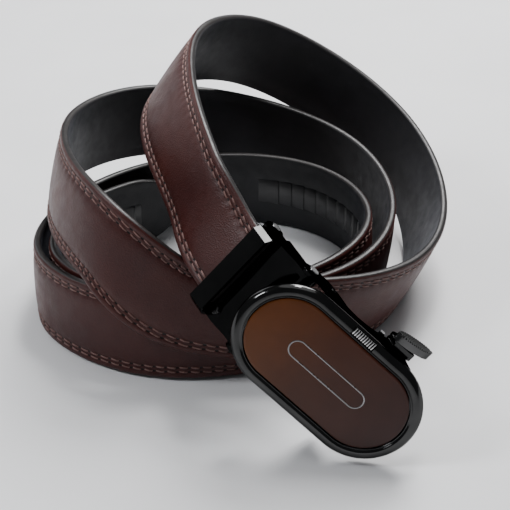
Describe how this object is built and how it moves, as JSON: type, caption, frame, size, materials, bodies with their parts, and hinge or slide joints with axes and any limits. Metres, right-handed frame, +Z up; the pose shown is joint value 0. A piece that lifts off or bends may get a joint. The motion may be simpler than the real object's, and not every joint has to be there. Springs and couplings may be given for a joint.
{
  "type": "leather belt",
  "caption": "Dress belt of stitched dark brown leather, coiled on edge, with a ratchet plaque buckle, a hinged strap clamp and a side release lever.",
  "frame": {"origin": "middle of the belt's bounding box on the table surface it lies on", "axes": "+Z up, -Y towards the buckle face, +X to the viewer's right"},
  "size_m": [0.1696, 0.2, 0.0974],
  "materials": {
    "leather": "smooth dark burgundy-brown leather, satin, fine grain",
    "core": "bonded leather board between the two skins",
    "lining": "smooth black lining, low sheen",
    "track": "black moulded ratchet strip",
    "clamp_metal": "black gunmetal plating, mirror polish",
    "jaw_metal": "black gunmetal plating, polished",
    "frame_metal": "black gunmetal plating, mirror polish",
    "bezel_metal": "black gunmetal plating, mirror polish",
    "rib_metal": "black gunmetal plating, finely ribbed",
    "inlay_lacquer": "glossy brown lacquer",
    "outline_metal": "thin satin silver-grey line",
    "adhesive_pad": "black foam tape",
    "wear_plastic": "black nylon strip",
    "fastener_metal": "black nickel pins and rivets",
    "release_metal": "black gunmetal plating, knurled paddle",
    "spring_steel": "bright spring wire"
  },
  "bodies": {
    "strap": {"strap_outer_leather": "leather", "strap_core": "core", "strap_lining": "lining", "ratchet_track": "track", "clamp_body": "clamp_metal", "clamp_lock_screw": "fastener_metal", "jaw_pin": "fastener_metal", "hinge_pin": "fastener_metal"},
    "jaw": {"clamp_jaw": "jaw_metal"},
    "buckle": {"buckle_frame": "frame_metal", "bezel_ring": "bezel_metal", "bezel_rib_insert": "rib_metal", "face_inlay": "inlay_lacquer", "inlay_outline": "outline_metal", "inlay_pad": "adhesive_pad", "tail_wear_strip": "wear_plastic", "bezel_rivet_1": "fastener_metal", "bezel_rivet_2": "fastener_metal", "bezel_rivet_3": "fastener_metal", "bezel_rivet_4": "fastener_metal", "strip_rivet_1": "fastener_metal", "strip_rivet_2": "fastener_metal", "tail_guide_bar": "frame_metal", "release_stop_pin": "fastener_metal", "pawl_return_spring": "spring_steel"},
    "release": {"pawl_plate": "release_metal", "pawl_pin": "fastener_metal", "release_neck": "release_metal", "release_paddle": "release_metal"}
  },
  "joints": [
    {"name": "buckle_hinge", "type": "hinge", "parent": "strap", "child": "buckle", "pos_m": [0.01067, -0.07058, 0.04618], "axis": [0.6599, 0.125, 0.7409], "range_deg": [-42, 45]},
    {"name": "clamp_jaw_hinge", "type": "hinge", "parent": "strap", "child": "jaw", "pos_m": [-0.00108, -0.05223, 0.05355], "axis": [0.6599, 0.125, 0.7409], "range_deg": [0, 50]},
    {"name": "release_lever", "type": "hinge", "parent": "buckle", "child": "release", "pos_m": [0.03869, -0.08203, 0.02316], "axis": [0.6599, 0.125, 0.7409], "range_deg": [-16, 0], "stiffness_Nm_per_rad": 0.02, "springref_deg": 17.19}
  ]
}
